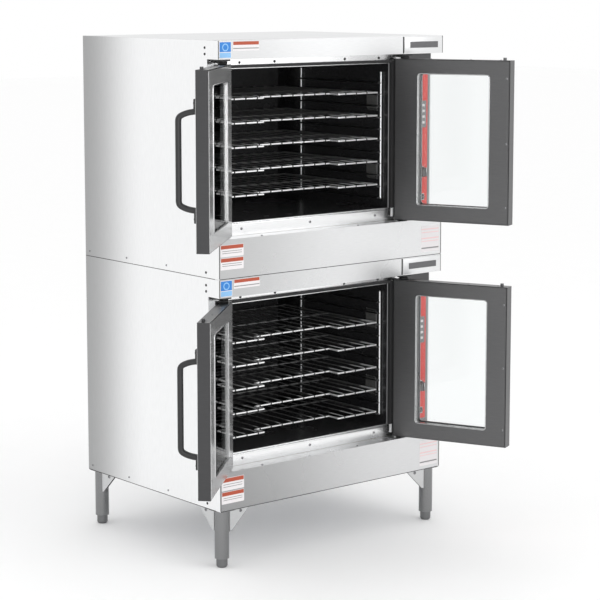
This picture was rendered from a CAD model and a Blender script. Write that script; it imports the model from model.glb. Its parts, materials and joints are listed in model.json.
"""Looks for the double-deck convection oven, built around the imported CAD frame.

Sizes are millimetres in the cabinet's own drawing frame (x = 0 middle of the cabinet,
y = 0 its front plane, z = 0 the base of a deck); place() turns them into metres.
"""
import json
import math

import bmesh
import bpy
from mathutils import Matrix, Vector


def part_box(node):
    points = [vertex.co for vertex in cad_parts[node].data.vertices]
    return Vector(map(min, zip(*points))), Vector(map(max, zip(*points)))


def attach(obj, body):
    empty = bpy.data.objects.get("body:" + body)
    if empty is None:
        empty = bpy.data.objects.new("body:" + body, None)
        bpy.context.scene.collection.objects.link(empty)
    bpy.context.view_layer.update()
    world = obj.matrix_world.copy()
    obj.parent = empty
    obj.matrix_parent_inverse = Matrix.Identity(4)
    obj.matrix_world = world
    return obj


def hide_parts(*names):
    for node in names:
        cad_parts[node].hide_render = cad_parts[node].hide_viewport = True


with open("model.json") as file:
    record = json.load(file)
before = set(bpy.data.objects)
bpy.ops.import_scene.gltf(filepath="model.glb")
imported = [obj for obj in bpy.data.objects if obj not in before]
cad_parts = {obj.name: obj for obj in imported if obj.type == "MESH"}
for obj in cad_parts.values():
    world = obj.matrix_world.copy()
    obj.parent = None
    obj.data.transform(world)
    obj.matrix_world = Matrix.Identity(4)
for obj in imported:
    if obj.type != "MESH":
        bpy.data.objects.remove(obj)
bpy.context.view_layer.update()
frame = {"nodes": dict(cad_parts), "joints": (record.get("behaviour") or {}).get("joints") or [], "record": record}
NODES = frame["nodes"]
DECKS = ("lower", "upper")
SIDES = ("left", "right")
MM = 0.001


# ---- Where things are, read from the frame ----
def corners(node):
    """Lowest and highest corner of a node's box at rest."""
    low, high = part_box(node)
    return Vector(low), Vector(high)


header_low, header_high = corners("upper_header")
CABINET_X = (header_low.x + header_high.x) / 2
FRONT_Y = header_low.y
DECK_H = 797
DECK_Z = {deck: corners(f"{deck}_header")[1].z - DECK_H * MM for deck in DECKS}
HEADER_Z = 734
LEDGE_Z = 134
HALF_W = 511
RECESS = 60
BODY_D = 800
DOOR_W, DOOR_H, DOOR_T = 436, 578, 43
PIVOT_IN, PIVOT_BACK = 27, 17
DOOR_Z = 139
WIN_IN, WIN_W, WIN_Z, WIN_H = 88, 271, 58, 467
LEG_X, LEG_IN_Y = 478, 36
GUSSET_FACE = 14.5          # outer face of a gusset plate from the axis of its leg
PIVOT_X, PIVOT_Y = (-478.5, 343.5), 19
KNOB_X, KNOB_Z = 468, 300
LAMP_ZS = (314, 563)
RACK_WIRE_R, SIDE_WIRE_R, THIN_R = 3, 3.2, 1.8
WIRE_STEP, RACK_NOTCH_HALF, RACK_NOTCH = 50, 172, 52
CAVITY_X, POST_OUT, POST_Y = -67.5, 362.5, (93, 541)


def place(deck, x, y, z):
    """From the drawing millimetres of a deck to metres in the frame."""
    return Vector((CABINET_X + x * MM, FRONT_Y + y * MM, DECK_Z[deck] + z * MM))


def deck_matrix(deck):
    """The same move as place(), as a matrix for a whole piece."""
    return Matrix.Translation(place(deck, 0, 0, 0)) @ Matrix.Scale(MM, 4)


def door_matrix(deck, side):
    """From a door's own millimetres (hinge end x = 0, outer face y = 0) to the frame."""
    joint = next(j for j in frame["joints"] if j["name"] == f"{deck}_{side}_door_hinge")
    stored = -joint["range_deg"][0]
    turn = math.radians(-stored if side == "left" else stored)
    pivot = Vector((joint["pos_m"][0], joint["pos_m"][1], place(deck, 0, 0, DOOR_Z).z))
    flip = Matrix.Diagonal((1 if side == "left" else -1, 1, 1, 1))
    return (Matrix.Translation(pivot) @ Matrix.Rotation(turn, 4, "Z") @ flip
            @ Matrix.Scale(MM, 4) @ Matrix.Translation((-PIVOT_IN, -PIVOT_BACK, 0)))


# ---- Materials ----
def new_material(name, colour, metallic, roughness):
    """A principled material with plain values on its sockets."""
    material = bpy.data.materials.new(name)
    material.use_nodes = True
    shader = material.node_tree.nodes["Principled BSDF"]
    shader.inputs["Base Color"].default_value = (*colour, 1)
    shader.inputs["Metallic"].default_value = metallic
    shader.inputs["Roughness"].default_value = roughness
    return material, material.node_tree, shader


def add(tree, kind, **values):
    """Adds a shader node and sets its sockets or its properties by name."""
    node = tree.nodes.new(kind)
    for key, value in values.items():
        if key in node.inputs:
            node.inputs[key].default_value = value
        else:
            setattr(node, key, value)
    return node


def noise(tree, scale, stretch=(1, 1, 1), detail=4.0):
    """Noise in object space, stretched along the axes with small numbers."""
    coordinates = add(tree, "ShaderNodeTexCoord")
    mapping = add(tree, "ShaderNodeMapping", Scale=stretch)
    texture = add(tree, "ShaderNodeTexNoise", Scale=scale, Detail=detail)
    tree.links.new(coordinates.outputs["Object"], mapping.inputs["Vector"])
    tree.links.new(mapping.outputs["Vector"], texture.inputs["Vector"])
    return texture.outputs["Fac"]


def ramp(tree, source, low, high, start=0.3, end=0.7):
    """Turns a factor into a colour between low and high."""
    node = add(tree, "ShaderNodeValToRGB")
    node.color_ramp.elements[0].position = start
    node.color_ramp.elements[0].color = (*low, 1)
    node.color_ramp.elements[1].position = end
    node.color_ramp.elements[1].color = (*high, 1)
    tree.links.new(source, node.inputs["Fac"])
    return node.outputs["Color"]


def bump(tree, shader, source, strength, distance):
    """Uses a factor as a fine relief on the surface."""
    node = add(tree, "ShaderNodeBump", Strength=strength, Distance=distance)
    tree.links.new(source, node.inputs["Height"])
    tree.links.new(node.outputs["Normal"], shader.inputs["Normal"])


def spread(tree, source, low, high):
    """Turns a factor into a number between low and high."""
    node = add(tree, "ShaderNodeMapRange")
    node.inputs["To Min"].default_value = low
    node.inputs["To Max"].default_value = high
    tree.links.new(source, node.inputs["Value"])
    return node.outputs["Result"]


def tint(colour, factor):
    return tuple(min(1.0, c * factor) for c in colour)


def faded(tree, colour, axis, start, end, low):
    """Darkens a colour smoothly along one axis of the frame, from low at start to full at end."""
    coordinates = add(tree, "ShaderNodeTexCoord")
    split = add(tree, "ShaderNodeSeparateXYZ")
    tree.links.new(coordinates.outputs["Object"], split.inputs["Vector"])
    along = add(tree, "ShaderNodeMapRange", interpolation_type="SMOOTHERSTEP")
    for socket, value in (("From Min", start), ("From Max", end), ("To Min", low), ("To Max", 1.0)):
        along.inputs[socket].default_value = value
    tree.links.new(split.outputs[axis], along.inputs["Value"])
    scaled = add(tree, "ShaderNodeVectorMath", operation="SCALE")
    tree.links.new(colour, scaled.inputs[0])
    tree.links.new(along.outputs["Result"], scaled.inputs["Scale"])
    return scaled.outputs["Vector"]


def brushed(name, colour, roughness=0.3, grain=(1, 1, 60), contrast=0.06, depth=0.00002,
            fades=(), metallic=1.0):
    """Brushed sheet steel: fine streaks in colour, roughness and bump."""
    material, tree, shader = new_material(name, colour, metallic, roughness)
    streaks = noise(tree, 30, grain, 6)
    clouds = noise(tree, 3, (1, 1, 1), 2)
    base = ramp(tree, streaks, tint(colour, 1 - contrast), tint(colour, 1 + contrast))
    for axis, start, end, low in fades:
        base = faded(tree, base, axis, start, end, low)
    tree.links.new(base, shader.inputs["Base Color"])
    tree.links.new(spread(tree, clouds, roughness - 0.05, roughness + 0.07),
                   shader.inputs["Roughness"])
    bump(tree, shader, streaks, 0.25, depth)
    return material


def mottled(name, colour, metallic, roughness, scale=400, contrast=0.1, depth=0.00005):
    """Moulded or enamelled surface: fine mottling and an orange-peel bump."""
    material, tree, shader = new_material(name, colour, metallic, roughness)
    grain = noise(tree, scale, (1, 1, 1), 5)
    patches = noise(tree, 6, (1, 1, 1), 3)
    tree.links.new(ramp(tree, grain, tint(colour, 1 - contrast), tint(colour, 1 + contrast)),
                   shader.inputs["Base Color"])
    tree.links.new(spread(tree, patches, roughness - 0.06, roughness + 0.08),
                   shader.inputs["Roughness"])
    bump(tree, shader, grain, 0.3, depth)
    return material


def clear_glass(name, colour, index):
    """Thin pane: mostly see-through, mirror-like towards grazing angles."""
    material = bpy.data.materials.new(name)
    material.use_nodes = True
    tree = material.node_tree
    tree.nodes.remove(tree.nodes["Principled BSDF"])
    output = tree.nodes["Material Output"]
    through = add(tree, "ShaderNodeBsdfTransparent", Color=(*colour, 1))
    gloss = add(tree, "ShaderNodeBsdfGlossy", Roughness=0.02)
    fresnel = add(tree, "ShaderNodeFresnel", IOR=index)
    mix = add(tree, "ShaderNodeMixShader")
    smear = noise(tree, 25, (1, 1, 0.3), 3)
    tree.links.new(spread(tree, smear, 0.01, 0.05), gloss.inputs["Roughness"])
    tree.links.new(fresnel.outputs["Fac"], mix.inputs["Fac"])
    tree.links.new(through.outputs["BSDF"], mix.inputs[1])
    tree.links.new(gloss.outputs["BSDF"], mix.inputs[2])
    tree.links.new(mix.outputs["Shader"], output.inputs["Surface"])
    return material


def woven(name, colour, scale=900):
    """Fibre braid or wool: fine waves in colour and relief."""
    material, tree, shader = new_material(name, colour, 0.0, 0.85)
    coordinates = add(tree, "ShaderNodeTexCoord")
    wave = add(tree, "ShaderNodeTexWave", Scale=scale, Distortion=1.0)
    tree.links.new(coordinates.outputs["Object"], wave.inputs["Vector"])
    tree.links.new(ramp(tree, wave.outputs["Fac"], tint(colour, 0.7), tint(colour, 1.3)),
                   shader.inputs["Base Color"])
    bump(tree, shader, wave.outputs["Fac"], 0.5, 0.0005)
    return material


LEFT_X = CABINET_X - HALF_W * MM
BACK_Y = FRONT_Y + BODY_D * MM
STEEL = brushed("stainless_steel", (0.78, 0.785, 0.79), 0.27,
                fades=(("X", LEFT_X - 0.1, LEFT_X + 0.7, 0.66),))
LOWER_STEEL = brushed("lower_front_stainless", (0.68, 0.684, 0.69), 0.27,
                      fades=(("X", LEFT_X - 0.1, LEFT_X + 0.95, 0.52),))
TOP_STEEL = brushed("top_stainless", (0.74, 0.745, 0.75), 0.34, (60, 1, 1))
SIDE_STEEL = brushed("side_stainless", (0.9, 0.905, 0.91), 0.36, (1, 60, 1),
                     fades=(("Y", BACK_Y + 0.05, BACK_Y - 0.42, 0.42),))
FRAME_STEEL = brushed("frame_stainless", (0.9, 0.905, 0.91), 0.24)
RACK_WIRE = brushed("rack_wire", (0.97, 0.975, 0.98), 0.3, (1, 1, 1), 0.03, metallic=0.6,
                    fades=(("Y", FRONT_Y + 0.2, FRONT_Y + 0.165, 0.22),))
PANEL_GREY = brushed("panel_grey", (0.1, 0.1, 0.102), 0.35)
PIVOT_STEEL = mottled("pivot_steel", (0.05, 0.05, 0.052), 0.8, 0.4, 300, 0.1)
PINK_FILM = mottled("label_pink", (0.83, 0.6, 0.6), 0.0, 0.5, 300, 0.05)
BEAD_STEEL = mottled("bead_steel", (0.6, 0.605, 0.61), 1.0, 0.25, 300, 0.1)
GUIDE_STEEL = mottled("guide_steel", (0.16, 0.16, 0.162), 1.0, 0.35, 300, 0.15)
DOOR_EDGE = brushed("left_door_shell_steel", (0.075, 0.075, 0.077), 0.3, (1, 1, 40), 0.08)
HOOK_STEEL = mottled("rack_wire_ends", (0.06, 0.06, 0.062), 0.8, 0.4, 300, 0.1)
BADGE_STEEL = brushed("badge_steel", (0.8, 0.805, 0.81), 0.35)
BADGE_GREY = mottled("badge_grey", (0.12, 0.12, 0.125), 0.0, 0.4, 400, 0.1)
WHITE_STEEL = mottled("strip_stainless", (0.96, 0.965, 0.97), 0.1, 0.4, 300, 0.03)
DIM_STEEL = brushed("lip_stainless", (0.2, 0.2, 0.205), 0.4)
GALVANISED = mottled("galvanised_sheet", (0.62, 0.63, 0.65), 1.0, 0.42, 60, 0.12)
ENAMEL = mottled("cavity_enamel", (0.02, 0.02, 0.021), 0.0, 0.25, 500, 0.4, 0.00004)
DOOR_GREY = brushed("door_inner_steel", (0.14, 0.14, 0.142), 0.34, (1, 1, 40), 0.08)
DOOR_PALE = mottled("left_door_inner_steel", (0.62, 0.622, 0.625), 0.7, 0.16, 90, 0.04)
DOOR_LIGHT = brushed("door_outer_steel", (0.75, 0.755, 0.76), 0.3, (1, 1, 60))
CHROME = mottled("rack_chrome", (0.95, 0.955, 0.96), 0.7, 0.3, 200, 0.04)
BLACK = mottled("handle_black", (0.018, 0.018, 0.019), 0.0, 0.42, 900, 0.3)
RUBBER = mottled("black_rubber", (0.012, 0.012, 0.012), 0.0, 0.6, 900, 0.3)
FAN_METAL = brushed("fan_aluminium", (0.66, 0.67, 0.69), 0.35)
MOTOR_PAINT = mottled("motor_paint", (0.05, 0.055, 0.065), 0.0, 0.45)
ELEMENT = mottled("element_metal", (0.16, 0.13, 0.12), 1.0, 0.55)
GASKET = woven("gasket_fibre", (0.03, 0.03, 0.031))
WOOL = woven("insulation_wool", (0.6, 0.52, 0.3), 120)
GLASS = clear_glass("window_glass", (0.99, 0.995, 0.995), 1.3)
LAMP_GLASS = mottled("lamp_glass", (0.09, 0.09, 0.088), 0.0, 0.25, 300, 0.15)
KNOB_GREY = mottled("knob_plastic", (0.2, 0.2, 0.2), 0.0, 0.35, 800)
LEG_STEEL = brushed("leg_stainless", (0.25, 0.252, 0.255), 0.24, (60, 60, 1))
GUSSET_STEEL = brushed("gusset_stainless", (0.6, 0.605, 0.61), 0.3, (1, 1, 60))
FOOT_STEEL = brushed("foot_stainless", (0.2, 0.202, 0.205), 0.3, (1, 1, 60))
SCREW = mottled("screw_steel", (0.3, 0.3, 0.31), 1.0, 0.35, 600)
DARK_SCREW = mottled("screw_dark", (0.03, 0.03, 0.03), 0.6, 0.5, 600)
RED_FILM = mottled("panel_red_film", (0.75, 0.08, 0.07), 0.0, 0.4, 900, 0.06)
GREY_FILM = mottled("panel_grey_film", (0.25, 0.25, 0.25), 0.0, 0.4, 900, 0.08)
BLUE_FILM = mottled("label_blue", (0.02, 0.2, 0.6), 0.0, 0.4, 900, 0.08)
PALE_BLUE = mottled("label_pale_blue", (0.25, 0.5, 0.8), 0.0, 0.4, 900, 0.08)
WHITE_FILM = mottled("label_white", (0.78, 0.75, 0.76), 0.0, 0.5, 900, 0.05)
RUST_FILM = mottled("label_rust", (0.42, 0.07, 0.03), 0.0, 0.45, 900, 0.1)

SLOT_LOOKS = {
    "stainless": STEEL, "galvanised": GALVANISED, "cavity_enamel": ENAMEL,
    "door_grey": DOOR_GREY, "window_glass": GLASS, "handle_black": BLACK,
    "rack_chrome": CHROME, "fan_steel": FAN_METAL, "motor_paint": MOTOR_PAINT,
    "element_metal": ELEMENT, "gasket_fibre": GASKET, "lamp_glass": LAMP_GLASS,
    "insulation_wool": WOOL, "knob_plastic": KNOB_GREY, "leg_steel": LEG_STEEL,
}
NODE_LOOKS = {
    "side_panels": SIDE_STEEL, "top_panel": TOP_STEEL, "door_pivots": PIVOT_STEEL,
    "lower_lower_panel": LOWER_STEEL,
}
for deck in DECKS:
    NODE_LOOKS[f"{deck}_left_door_liner"] = DOOR_PALE
    NODE_LOOKS[f"{deck}_left_door_shell"] = DOOR_EDGE
    NODE_LOOKS[f"{deck}_rack_guides"] = GUIDE_STEEL
    NODE_LOOKS[f"{deck}_front_frame"] = FRAME_STEEL
NODE_LOOKS.update({f"{deck}_rack_{i}": RACK_WIRE for deck in DECKS for i in range(1, 6)})
NODE_LOOKS.update({f"foot_{end}_{side}": FOOT_STEEL for end in ("front", "rear") for side in SIDES})


def dress_cad_nodes():
    """Gives every CAD node its look: by its name, or else by its material slot."""
    for part in frame["record"]["subparts"]:
        node = NODES[part["node"]]
        look = NODE_LOOKS.get(part["node"], SLOT_LOOKS[part["material_slot"]])
        node.data.materials.clear()
        node.data.materials.append(look)


# ---- Mesh building ----
class Sketch:
    """Collects shapes in millimetres and turns them into one piece."""

    def __init__(self):
        self.mesh = bmesh.new()
        self.looks = []

    def _finish_shape(self, faces, look):
        """Gives new faces their material."""
        if look not in self.looks:
            self.looks.append(look)
        for face in faces:
            face.material_index = self.looks.index(look)

    def slab(self, x, y, z, look, bevel=0.4, segments=2):
        """A plate or block between two corners with softened edges."""
        made = bmesh.ops.create_cube(self.mesh, size=1)["verts"]
        for vert in made:
            vert.co = Vector([low + (c + 0.5) * (high - low)
                              for c, (low, high) in zip(vert.co, (x, y, z))])
        edges = list({edge for vert in made for edge in vert.link_edges})
        cut = bmesh.ops.bevel(self.mesh, geom=edges, offset=bevel, segments=segments,
                              affect="EDGES", profile=0.6)
        faces = {face for vert in cut["verts"] for face in vert.link_faces}
        self._finish_shape(faces | set(cut["faces"]), look)

    def turned(self, centre, axis, profile, look, segments=24):
        """A lathed shape: profile is (distance along axis, radius) pairs."""
        along = {"x": Vector((1, 0, 0)), "y": Vector((0, 1, 0)), "z": Vector((0, 0, 1)),
                 "-x": Vector((-1, 0, 0)), "-y": Vector((0, -1, 0)), "-z": Vector((0, 0, -1))}[axis]
        side = along.orthogonal().normalized()
        other = along.cross(side)
        centre = Vector(centre)
        rings = []
        for height, radius in profile:
            spot = centre + along * height
            if radius == 0:
                rings.append([self.mesh.verts.new(spot)])
                continue
            angles = [2 * math.pi * i / segments for i in range(segments)]
            rings.append([self.mesh.verts.new(
                spot + (side * math.cos(a) + other * math.sin(a)) * radius) for a in angles])
        faces = []
        for low, high in zip(rings, rings[1:]):
            for i in range(segments):
                j = (i + 1) % segments
                corner = (low[i % len(low)], low[j % len(low)],
                          high[j % len(high)], high[i % len(high)])
                loop = list(dict.fromkeys(corner))
                if len(loop) > 2:
                    faces.append(self.mesh.faces.new(loop))
        for ring in (rings[0], rings[-1]):
            if len(ring) > 2:
                faces.append(self.mesh.faces.new(ring))
        self._finish_shape(faces, look)

    def tube(self, points, radius, look, closed=False, sides=10):
        """A round bead or wire along a list of points."""
        points = [Vector(p) for p in points]
        count = len(points)
        rings = []
        normal = None
        for i, point in enumerate(points):
            before = points[i - 1] if closed or i else point
            after = points[(i + 1) % count] if closed or i + 1 < count else point
            tangent = (after - before).normalized()
            if normal is None:
                normal = tangent.orthogonal().normalized()
            normal = (normal - tangent * normal.dot(tangent)).normalized()
            other = tangent.cross(normal)
            rings.append([self.mesh.verts.new(
                point + (normal * math.cos(2 * math.pi * k / sides)
                         + other * math.sin(2 * math.pi * k / sides)) * radius)
                for k in range(sides)])
        faces = []
        spans = count if closed else count - 1
        for i in range(spans):
            low, high = rings[i], rings[(i + 1) % count]
            for k in range(sides):
                m = (k + 1) % sides
                faces.append(self.mesh.faces.new((low[k], low[m], high[m], high[k])))
        if not closed:
            faces.append(self.mesh.faces.new(rings[0]))
            faces.append(self.mesh.faces.new(rings[-1]))
        self._finish_shape(faces, look)

    def bar(self, points, half_wide, half_thick, look, sides=20):
        """A smooth oval bar swept along points that lie in a plane of constant x."""
        points = [Vector(p) for p in points]
        wide = Vector((1, 0, 0))
        rings = []
        for i, point in enumerate(points):
            tangent = points[min(i + 1, len(points) - 1)] - points[max(i - 1, 0)]
            thick = tangent.normalized().cross(wide)
            ring = []
            for k in range(sides):
                c, s = math.cos(2 * math.pi * k / sides), math.sin(2 * math.pi * k / sides)
                reach = (abs(c) ** 3 + abs(s) ** 3) ** (-1 / 3)
                ring.append(self.mesh.verts.new(
                    point + wide * (half_wide * c * reach) + thick * (half_thick * s * reach)))
            rings.append(ring)
        faces = [self.mesh.faces.new(rings[0]), self.mesh.faces.new(rings[-1])]
        for low, high in zip(rings, rings[1:]):
            for k in range(sides):
                m = (k + 1) % sides
                faces.append(self.mesh.faces.new((low[k], low[m], high[m], high[k])))
        self._finish_shape(faces, look)

    def outline(self, loop, y0, y1, look, holes=()):
        """A plate between y0 and y1 whose outline is a list of (x, z) points."""
        shape = bmesh.new()
        edges = []
        for ring in (loop, *holes):
            verts = [shape.verts.new((x, y0, z)) for x, z in ring]
            edges += [shape.edges.new((verts[i - 1], verts[i])) for i in range(len(verts))]
        bmesh.ops.triangle_fill(shape, use_beauty=True, edges=edges, normal=(0, -1, 0))
        lifted = bmesh.ops.extrude_face_region(shape, geom=list(shape.faces))["geom"]
        bmesh.ops.translate(shape, verts=[g for g in lifted if isinstance(g, bmesh.types.BMVert)],
                            vec=(0, y1 - y0, 0))
        copied = {vert: self.mesh.verts.new(vert.co) for vert in shape.verts}
        faces = [self.mesh.faces.new([copied[v] for v in face.verts]) for face in shape.faces]
        self._finish_shape(faces, look)
        shape.free()

    def piece(self, name, body, matrix, slot, smooth_angle=35):
        """Moves the sketch into the frame and hands it over as a piece of a body."""
        bmesh.ops.transform(self.mesh, matrix=matrix, verts=self.mesh.verts)
        bmesh.ops.recalc_face_normals(self.mesh, faces=self.mesh.faces)
        data = bpy.data.meshes.new(name)
        self.mesh.to_mesh(data)
        self.mesh.free()
        for look in self.looks:
            data.materials.append(look)
        data.shade_smooth()
        data.set_sharp_from_angle(angle=math.radians(smooth_angle))
        piece = bpy.data.objects.new(name, data)
        bpy.context.scene.collection.objects.link(piece)
        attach(piece, body)
        return piece


def rounded_loop(x0, x1, z0, z1, radius, steps=6):
    """Points around a rectangle with round corners."""
    loop = []
    for cx, cz, start in ((x1 - radius, z1 - radius, 0), (x0 + radius, z1 - radius, 90),
                          (x0 + radius, z0 + radius, 180), (x1 - radius, z0 + radius, 270)):
        for i in range(steps + 1):
            angle = math.radians(start + 90 * i / steps)
            loop.append((cx + radius * math.cos(angle), cz + radius * math.sin(angle)))
    return loop


def circle_loop(x, z, radius, steps=32):
    """Points around a circle."""
    return [(x + radius * math.cos(2 * math.pi * i / steps),
             z + radius * math.sin(2 * math.pi * i / steps)) for i in range(steps)]


def screw(sketch, spot, axis, radius=4, height=2.2, look=None, cross=True):
    """A pan-head screw standing on a surface at spot, pointing along axis."""
    look = look or SCREW
    sketch.turned(spot, axis, [(0, radius), (height * 0.5, radius), (height * 0.85, radius * 0.8),
                               (height, radius * 0.45), (height, 0)], look, 20)
    if cross:
        along = Vector({"x": (1, 0, 0), "-x": (-1, 0, 0), "y": (0, 1, 0), "-y": (0, -1, 0),
                        "z": (0, 0, 1), "-z": (0, 0, -1)}[axis])
        top = Vector(spot) + along * (height + 0.05)
        others = [i for i in range(3) if abs(along[i]) < 0.5]
        for long_side in others:
            reach = [0.15, 0.15, 0.15]
            reach[long_side] = radius * 0.55
            for i in others:
                if i != long_side:
                    reach[i] = radius * 0.13
            sketch.slab(*[(top[i] - reach[i], top[i] + reach[i]) for i in range(3)],
                        DARK_SCREW, 0.05, 1)


# ---- Cabinet details ----
def cabinet_screws(deck):
    """Screws and rivets on the header, ledge, sides and back of one deck."""
    sketch = Sketch()
    for x in (-375, -223, 94, 254):
        screw(sketch, (x, RECESS, 720), "-y", 4.5, 2.4, DARK_SCREW, False)
    for x in (-369, -65, 239):
        screw(sketch, (x, RECESS, 157), "-y", 4.5, 2.4, SCREW)
    for x in (-319, 117):
        screw(sketch, (x, 12, LEDGE_Z), "z", 4, 2)
    for side, axis in ((-HALF_W, "-x"), (HALF_W, "x")):
        for z in (772, 751, 18):
            screw(sketch, (side, 73, z), axis, 4.5, 1.5, DARK_SCREW, False)
        for y in (300, 540, 774):
            screw(sketch, (side, y, 18), axis, 3.5, 2)
    for x in (-470, -200, 200, 470):
        for z in (40, 760):
            screw(sketch, (x, BODY_D, z), "y", 4, 2)
    sketch.piece(f"{deck}_cabinet_screws", "cabinet", deck_matrix(deck), "stainless")


def label(sketch, x, z, base, bands, face_y=0):
    """A blank printed label: a thin film with plain colour bands, each (low, high, look)."""
    sketch.outline(rounded_loop(*x, *z, 2), face_y, face_y - 0.35, base)
    for low, high, look in bands:
        z0 = z[0] + (z[1] - z[0]) * low
        z1 = z[0] + (z[1] - z[0]) * high
        sketch.outline(rounded_loop(x[0] + 1.5, x[1] - 1.5, z0, z1, 0.8, 2),
                       face_y - 0.3, face_y - 0.55, look)


def cabinet_labels(deck):
    """Plain labels without print: two on the header, two below the doors, one at the right."""
    sketch = Sketch()
    label(sketch, (-506, -456), (738, 793), WHITE_FILM,
          [(0.03, 0.34, PALE_BLUE), (0.38, 0.97, BLUE_FILM)])
    sketch.outline(circle_loop(-481, 774, 13), -0.5, -0.8, PALE_BLUE)
    sketch.outline(circle_loop(-481, 774, 9), -0.75, -1.0, BLUE_FILM)
    label(sketch, (-449, -338), (762, 793), WHITE_FILM,
          [(0.62, 0.98, RUST_FILM), (0.2, 0.3, GREY_FILM)])
    right, high, low, lines = ((-407, (76, 116), (32, 72), (44, 51, 87, 94)) if deck == "upper"
                               else (-409, (72, 116), (26, 68), (38, 45, 84, 92)))
    line_right = -415 if deck == "upper" else -416
    for z in (high, low):
        label(sketch, (-505, right), z, WHITE_FILM, [(0.66, 0.97, RUST_FILM)])
    for z in lines:
        sketch.outline(rounded_loop(-498, line_right, z, z + 2, 0.8, 2), -0.3, -0.5, GREY_FILM)
    label(sketch, (412, 500), (14, 108), WHITE_FILM,
          [(0.86, 0.9, PINK_FILM), (0.74, 0.77, PINK_FILM), (0.5, 0.55, PINK_FILM),
           (0.4, 0.43, PINK_FILM), (0.12, 0.17, GREY_FILM)])
    sketch.piece(f"{deck}_labels", "cabinet", deck_matrix(deck), "knob_plastic")


def badge(deck):
    """A blank name plate at the right end of the header, with a dark seam beside it."""
    sketch = Sketch()
    sketch.slab((322, 507), (-2.2, 0), (738, 793), BADGE_STEEL, 0.8)
    sketch.slab((350, 484), (-4.2, -2), (755, 777), BADGE_GREY, 1.6, 3)
    sketch.slab((317, 320.5), (-1.4, 0), (736, 795), DARK_SCREW, 0.5)
    sketch.piece(f"{deck}_badge", "cabinet", deck_matrix(deck), "stainless")


def control_face(deck):
    """Red printed film with a grey display field and border, cut round the knob and switch."""
    sketch = Sketch()
    face = RECESS
    border = rounded_loop(377.5, 505, 150, 712, 2)
    red = rounded_loop(379, 494, 178, 690, 4)
    knob = circle_loop(KNOB_X, KNOB_Z, 21)
    switch = rounded_loop(463, 481, 196, 220, 2)
    sketch.outline(border, face, face - 0.4, GREY_FILM, (knob, switch))
    sketch.outline(red, face - 0.35, face - 0.7, RED_FILM, (knob, switch))
    sketch.outline(rounded_loop(378, 508, 691, 733, 1), face - 0.35, face - 0.7, PANEL_GREY)
    sketch.outline(rounded_loop(396, 488, 462, 560, 3), face - 0.65, face - 1.1, GREY_FILM)
    for row in range(4):
        for column in range(3):
            x = 404 + column * 29
            z = 476 + row * 21
            key = rounded_loop(x, x + 18, z, z + 9, 3)
            sketch.outline(key, face - 1.05, face - 1.5, WHITE_FILM)
    for i in range(11):
        angle = math.radians(-60 + 300 * i / 10)
        x, z = KNOB_X - 27 * math.cos(angle), KNOB_Z + 27 * math.sin(angle)
        sketch.outline(circle_loop(x, z, 1.3, 12), face - 0.65, face - 0.9, WHITE_FILM)
    sketch.piece(f"{deck}_control_face", "cabinet", deck_matrix(deck), "knob_plastic")


def knob_cap(deck):
    """Front disc, pointer line and grip ribs of the temperature knob."""
    sketch = Sketch()
    sketch.turned((KNOB_X, RECESS - 20, KNOB_Z), "-y",
                  [(-0.5, 14.5), (0.6, 14.2), (1.2, 12.5), (1.2, 0)], KNOB_GREY, 40)
    pointer = rounded_loop(KNOB_X - 1.2, KNOB_X + 1.2, KNOB_Z + 1, KNOB_Z + 14, 1, 3)
    sketch.outline(pointer, RECESS - 25, RECESS - 25.5, WHITE_FILM)
    for i in range(30):
        angle = 2 * math.pi * i / 30
        x, z = KNOB_X + 16.1 * math.cos(angle), KNOB_Z + 16.1 * math.sin(angle)
        sketch.turned((x, RECESS - 19, z), "y", [(0, 0.3), (0.6, 0.8), (13, 0.8), (13.6, 0.3)],
                      KNOB_GREY, 8)
    sketch.piece(f"{deck}_knob_cap", f"{deck}_temperature_knob", deck_matrix(deck), "knob_plastic")


def opening_trim(deck):
    """Rolled lip around the cavity mouth: bright above and below, dull at the sides."""
    sketch = Sketch()
    x0, x1, z0, z1 = -437, 302, 179, 701
    y = RECESS - 1
    for z in (z0, z1):
        sketch.tube([(x, y, z) for x in range(x0, x1 + 1, 67)], 2.6, FRAME_STEEL, sides=12)
    for x in (x0, x1):
        sketch.tube([(x, y, z) for z in range(z0, z1 + 1, 58)], 2.6, DIM_STEEL, sides=12)
    sketch.slab((x0 - 4, x1 + 4), (y - 8, y + 1), (z0 - 8, z0 - 3), FRAME_STEEL, 1.5)
    for x, way in ((313, 1), (-448, -1)):
        strip = sorted((x, x + way * 8))
        backing = sorted((x - way * 9, x + way * 34))
        sketch.slab(backing, (RECESS - 1.2, RECESS), (150, 716), RUBBER, 0.4)
        sketch.slab(strip, (RECESS - 9, RECESS - 1), (148, 712), WHITE_STEEL, 1.5)
        for z in (210, 440, 675):
            screw(sketch, (x + way * 15, RECESS - 1.2, z), "-y", 4.5, 3, DARK_SCREW, False)
    sketch.piece(f"{deck}_opening_trim", "cabinet", deck_matrix(deck), "stainless")


def seams(deck):
    """Dark joints: between the side and the front pieces, and under the deck."""
    sketch = Sketch()
    for side in (-1, 1):
        x = sorted((side * 508.4, side * 510.8))
        for z in ((HEADER_Z + 1, 796), (3, LEDGE_Z - 1)):
            sketch.slab(x, (-0.7, 1.2), z, RUBBER, 0.3)
        x = sorted((side * 509.5, side * 511.5))
        sketch.slab(x, (24, BODY_D - 1), (-1.1, 1.1), RUBBER, 0.4)
    sketch.slab((-509, 509), (-0.5, 20), (-0.2, 1.6), RUBBER, 0.4)
    sketch.piece(f"{deck}_seams", "cabinet", deck_matrix(deck), "gasket_fibre")


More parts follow.
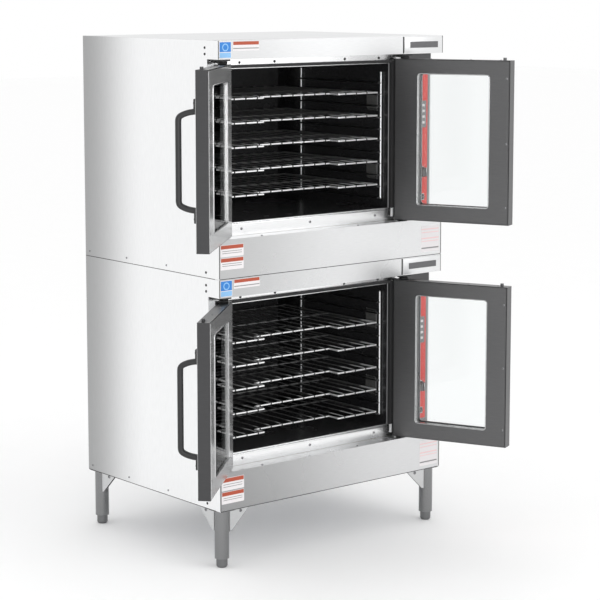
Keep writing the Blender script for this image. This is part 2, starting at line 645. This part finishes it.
def pivot_washers(deck):
    """Black bushes and brackets where the doors turn."""
    sketch = Sketch()
    for x in PIVOT_X:
        sketch.turned((x, PIVOT_Y, 717.3), "z",
                      [(0, 13), (0, 15), (1.5, 16), (6, 16), (7, 14), (7, 13)], RUBBER, 32)
        sketch.slab((x - 22, x + 24), (6, 56), (728, 733.5), RUBBER, 1)
        sketch.slab((x + 2, x + 30), (30, 56), (719.5, 729), DARK_SCREW, 2)
        sketch.slab((x - 12, x + 40), (34, 56), (LEDGE_Z + 0.5, LEDGE_Z + 3), RUBBER, 1)
    sketch.piece(f"{deck}_pivot_washers", "cabinet", deck_matrix(deck), "gasket_fibre")


def lamp_bezels(deck):
    """Dull rims and screws round the two lamp lenses."""
    sketch = Sketch()
    for z in LAMP_ZS:
        loop = rounded_loop(116, 170, z - 30, z + 30, 10)
        sketch.tube([(298.5, y, h) for y, h in loop], 1.6, DIM_STEEL, True)
        for y, h in ((117, z - 33), (169, z + 33)):
            screw(sketch, (299, y, h), "-x", 3, 1.6)
    sketch.piece(f"{deck}_lamp_bezels", "cabinet", deck_matrix(deck), "rack_chrome")


# ---- Door details ----
def door_trim(deck, side):
    """Beads round the window on both faces, and the door's screws."""
    sketch = Sketch()
    x0, x1 = WIN_IN, WIN_IN + WIN_W
    z0, z1 = WIN_Z, WIN_Z + WIN_H
    for y in (-0.3, DOOR_T + 0.3):
        loop = rounded_loop(x0 - 1, x1 + 1, z0 - 1, z1 + 1, 11, 8)
        sketch.tube([(x, y, z) for x, z in loop], 1.7, BEAD_STEEL, True, 12)
    for z in (63, 287, 515):
        screw(sketch, (424, DOOR_T, z), "y", 4, 2)
    for x in (130, 282, 394):
        screw(sketch, (x, 22, DOOR_H), "z", 3.5, 1.8)
    sketch.piece(f"{deck}_{side}_door_trim", f"{deck}_{side}_door", door_matrix(deck, side),
                 "rack_chrome")


def door_outer_skin(deck, side):
    """Thin brushed cladding on the outer face, open at the window."""
    sketch = Sketch()
    hole = rounded_loop(WIN_IN - 0.5, WIN_IN + WIN_W + 0.5, WIN_Z - 0.5, WIN_Z + WIN_H + 0.5, 10)
    sketch.outline(rounded_loop(0.5, DOOR_W - 0.5, 0.5, DOOR_H - 0.5, 3), 0, -0.8, DOOR_LIGHT,
                   (hole,))
    sketch.piece(f"{deck}_{side}_door_skin", f"{deck}_{side}_door", door_matrix(deck, side),
                 "stainless")


def curve(start, lean, pull, end, steps):
    """Points of a cubic curve in a door's (y, z) plane, without its last point."""
    points = []
    for i in range(steps):
        t = i / steps
        weights = ((1 - t) ** 3, 3 * t * (1 - t) ** 2, 3 * t * t * (1 - t), t ** 3)
        points.append([sum(w * p[k] for w, p in zip(weights, (start, lean, pull, end)))
                       for k in (0, 1)])
    return points


def handle(deck, side):
    """Black bow handle: a straight oval grip, arms that curve in to the door, and flat feet."""
    sketch = Sketch()
    x, middle = DOOR_W - 42, DOOR_H / 2
    grip_out = 63
    half = (curve((-1, 157), (-24, 156), (-42, 151), (-55, 143), 12)
            + curve((-55, 143), (-61, 139), (-grip_out, 134), (-grip_out, 124), 8)
            + [(-grip_out, z) for z in (124, 93, 62, 31)])
    path = half + [(-grip_out, 0)] + [(y, -z) for y, z in reversed(half)]
    sketch.bar([(x, y, middle + z) for y, z in path], 11, 9.5, BLACK)
    for end in (-1, 1):
        low, high = sorted((middle + end * 148, middle + end * 197))
        sketch.slab((x - 12, x + 12), (-13, -0.9), (low, high), BLACK, 3.5, 3)
        screw(sketch, (x, -13, middle + end * 184), "-y", 4.5, 2, DARK_SCREW)
    piece = sketch.piece(f"{deck}_{side}_handle", f"{deck}_{side}_door",
                         door_matrix(deck, side), "handle_black", 50)
    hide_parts(f"{deck}_{side}_door_handle")


def guide_posts(deck):
    """Bright plated sleeves on the four posts that carry the guide rungs."""
    sketch = Sketch()
    for x in (CAVITY_X - POST_OUT, CAVITY_X + POST_OUT):
        for y in POST_Y:
            sketch.tube([(x, y, z) for z in range(212, 669, 57)], 3.5, CHROME, sides=16)
    sketch.piece(f"{deck}_guide_posts", "cabinet", deck_matrix(deck), "rack_chrome")


def rack_hooks(deck, number):
    """Ends of a rack's long wires, bent down over its front wire."""
    sketch = Sketch()
    body = f"{deck}_rack_{number}"
    low, high = corners(body)
    centre = Vector(((low.x + high.x) / 2, low.y + RACK_WIRE_R * MM, low.z + SIDE_WIRE_R * MM))
    over = RACK_WIRE_R + THIN_R
    bend = [math.radians(a) for a in range(100, 281, 30)]
    for i in range(-6, 7):
        x = i * WIRE_STEP
        y = RACK_NOTCH if abs(x) < RACK_NOTCH_HALF else 0
        route = [(x, y + 9, over - 0.6)]
        route += [(x, y + over * math.cos(a), over * math.sin(a)) for a in bend]
        sketch.tube(route, THIN_R, HOOK_STEEL, sides=8)
    matrix = Matrix.Translation(centre) @ Matrix.Scale(MM, 4)
    sketch.piece(f"{deck}_rack_{number}_hooks", body, matrix, "rack_chrome")


# ---- Legs ----
def leg_screws():
    """Screws through the gusset plates."""
    sketch = Sketch()
    for side in (-1, 1):
        for y, axis in ((LEG_IN_Y - GUSSET_FACE, "-y"), (BODY_D - LEG_IN_Y + GUSSET_FACE, "y")):
            screw(sketch, (side * (LEG_X - 70), y, -14), axis, 6, 3)
        axis = "x" if side > 0 else "-x"
        for y in (LEG_IN_Y + 70, BODY_D - LEG_IN_Y - 70):
            screw(sketch, (side * (LEG_X + GUSSET_FACE), y, -14), axis, 6, 3)
    sketch.piece("leg_screws", "cabinet", deck_matrix("lower"), "leg_steel")


def gusset_skins():
    """Brighter brushed faces over the gusset plates."""
    sketch = Sketch()
    outline = ((24.5, -1.2), (112, -1.2), (33, -76.5), (24.5, -78))
    for side in (-1, 1):
        for y, way in ((LEG_IN_Y, -1), (BODY_D - LEG_IN_Y, 1)):
            face = y + way * GUSSET_FACE
            loop = [(side * (LEG_X - d), z) for d, z in outline]
            sketch.outline(loop, face, face + way * 0.5, GUSSET_STEEL)
    sketch.piece("gusset_skins", "cabinet", deck_matrix("lower"), "leg_steel")
    sketch = Sketch()
    turn = Matrix.Rotation(math.radians(90), 4, "Z")
    for side in (-1, 1):
        for y, way in ((LEG_IN_Y, 1), (BODY_D - LEG_IN_Y, -1)):
            face = -side * (LEG_X + GUSSET_FACE)
            loop = [(y + way * d, z) for d, z in outline]
            sketch.outline(loop, face, face - side * 0.5, GUSSET_STEEL)
    sketch.piece("gusset_side_skins", "cabinet", deck_matrix("lower") @ turn, "leg_steel")


# ---- Studio ----
def area_light(name, location, target, size, watts):
    """A soft rectangular lamp that faces its target."""
    lamp = bpy.data.lights.new(name, "AREA")
    lamp.shape = "RECTANGLE"
    lamp.size, lamp.size_y = size
    lamp.energy = watts
    light = bpy.data.objects.new(name, lamp)
    light.location = location
    light.rotation_euler = (Vector(target) - Vector(location)).to_track_quat("-Z", "Y").to_euler()
    bpy.context.scene.collection.objects.link(light)


def studio():
    """White surroundings, a pale floor and three soft lamps."""
    bpy.context.scene.view_settings.view_transform = "Standard"
    world = bpy.data.worlds.new("studio_world")
    bpy.context.scene.world = world
    world.use_nodes = True
    background = world.node_tree.nodes["Background"]
    background.inputs["Color"].default_value = (1, 1, 1, 1)
    background.inputs["Strength"].default_value = 1.0
    floor_mesh = bpy.data.meshes.new("studio_floor")
    sheet = bmesh.new()
    bmesh.ops.create_grid(sheet, x_segments=8, y_segments=8, size=30)
    sheet.to_mesh(floor_mesh)
    sheet.free()
    floor = bpy.data.objects.new("studio_floor", floor_mesh)
    floor_mesh.materials.append(mottled("studio_floor", (0.985, 0.985, 0.985), 0.0, 0.9, 5, 0.003))
    bpy.context.scene.collection.objects.link(floor)
    middle = (CABINET_X, FRONT_Y + 0.4, 1.0)
    area_light("key_left", (-4.0, 1.5, 3.4), middle, (3.0, 3.0), 12)
    area_light("front_fill", (1.5, -4.5, 2.6), middle, (3.5, 2.5), 35)
    area_light("camera_fill", (-3.0, -4.0, 1.4), middle, (1.5, 1.5), 30)


CAMERA_YAW = 39.716
CAMERA_PITCH = 7.426
CAMERA_PLACE = (-4.4751, -5.1945, 1.9868)   # from the cabinet's front middle, on the floor
CAMERA_LENS = 118.6
CAMERA_SHIFT = -0.1


def camera():
    """The camera stands left of the front of the oven, a little above its middle."""
    data = bpy.data.cameras.new("camera")
    data.lens = CAMERA_LENS
    data.sensor_width = 36
    data.shift_y = CAMERA_SHIFT
    data.clip_end = 100
    eye = bpy.data.objects.new("camera", data)
    eye.location = Vector(CAMERA_PLACE) + Vector((CABINET_X, FRONT_Y, 0))
    eye.rotation_euler = (math.radians(90 - CAMERA_PITCH), 0, math.radians(-CAMERA_YAW))
    bpy.context.scene.collection.objects.link(eye)
    bpy.context.scene.camera = eye


camera()
studio()
dress_cad_nodes()
for deck in DECKS:
    cabinet_screws(deck)
    cabinet_labels(deck)
    badge(deck)
    control_face(deck)
    knob_cap(deck)
    opening_trim(deck)
    seams(deck)
    pivot_washers(deck)
    lamp_bezels(deck)
    for side in SIDES:
        door_trim(deck, side)
        door_outer_skin(deck, side)
        handle(deck, side)
    guide_posts(deck)
    for number in range(1, 6):
        rack_hooks(deck, number)
leg_screws()
gusset_skins()
